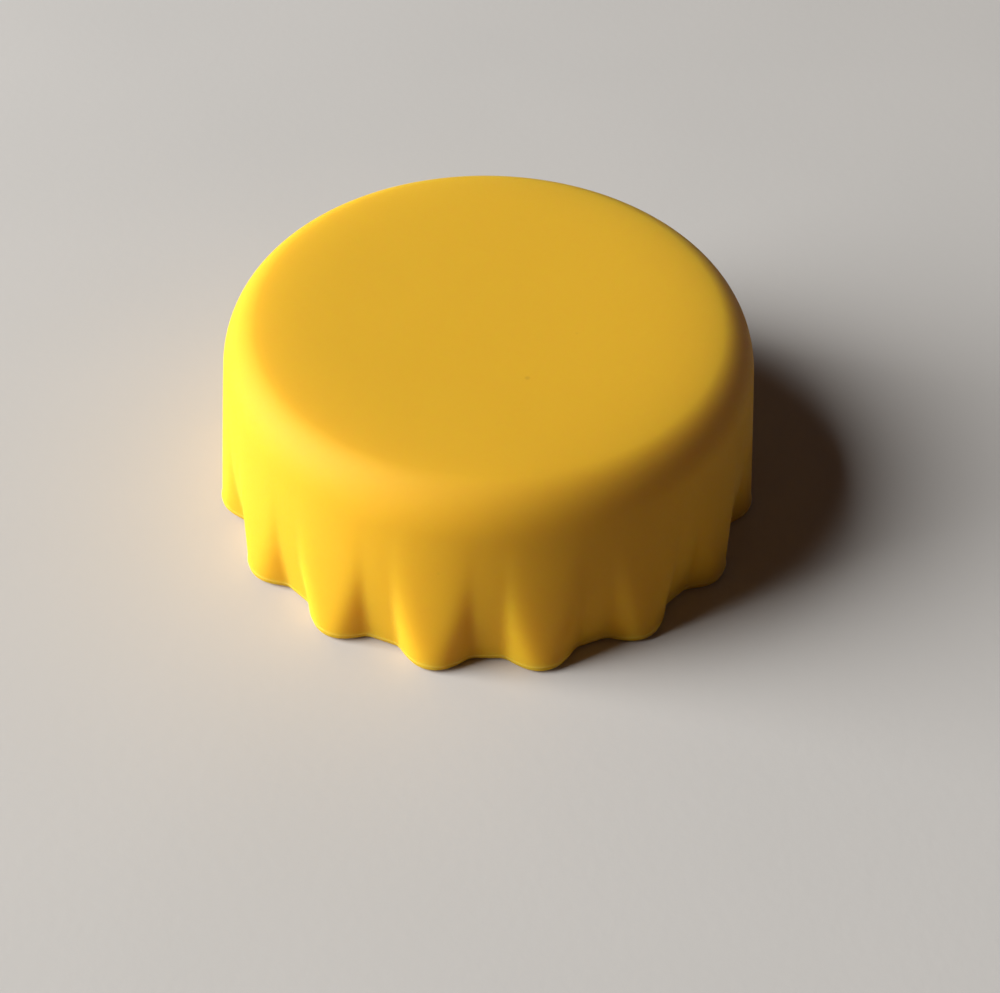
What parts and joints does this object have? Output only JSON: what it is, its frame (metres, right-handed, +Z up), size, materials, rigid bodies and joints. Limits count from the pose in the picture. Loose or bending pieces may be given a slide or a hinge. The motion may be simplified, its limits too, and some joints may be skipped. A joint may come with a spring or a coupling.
{
  "type": "bottle cap",
  "caption": "Reusable soft bottle cap with a flat round top, a tapered skirt that breaks into flutes at the rim, and a snap lip in its mouth.",
  "frame": {"origin": "centre of the rim plane that the cap stands on, on the axis of the cap", "axes": "+Z up along the axis, from the open mouth to the flat top; +X through the middle of one flute"},
  "size_m": [0.032, 0.032, 0.0124],
  "materials": {
    "silicone": "matte, smooth moulded silicone, warm yellow"
  },
  "bodies": {
    "root": {"cap": "silicone"}
  },
  "joints": []
}
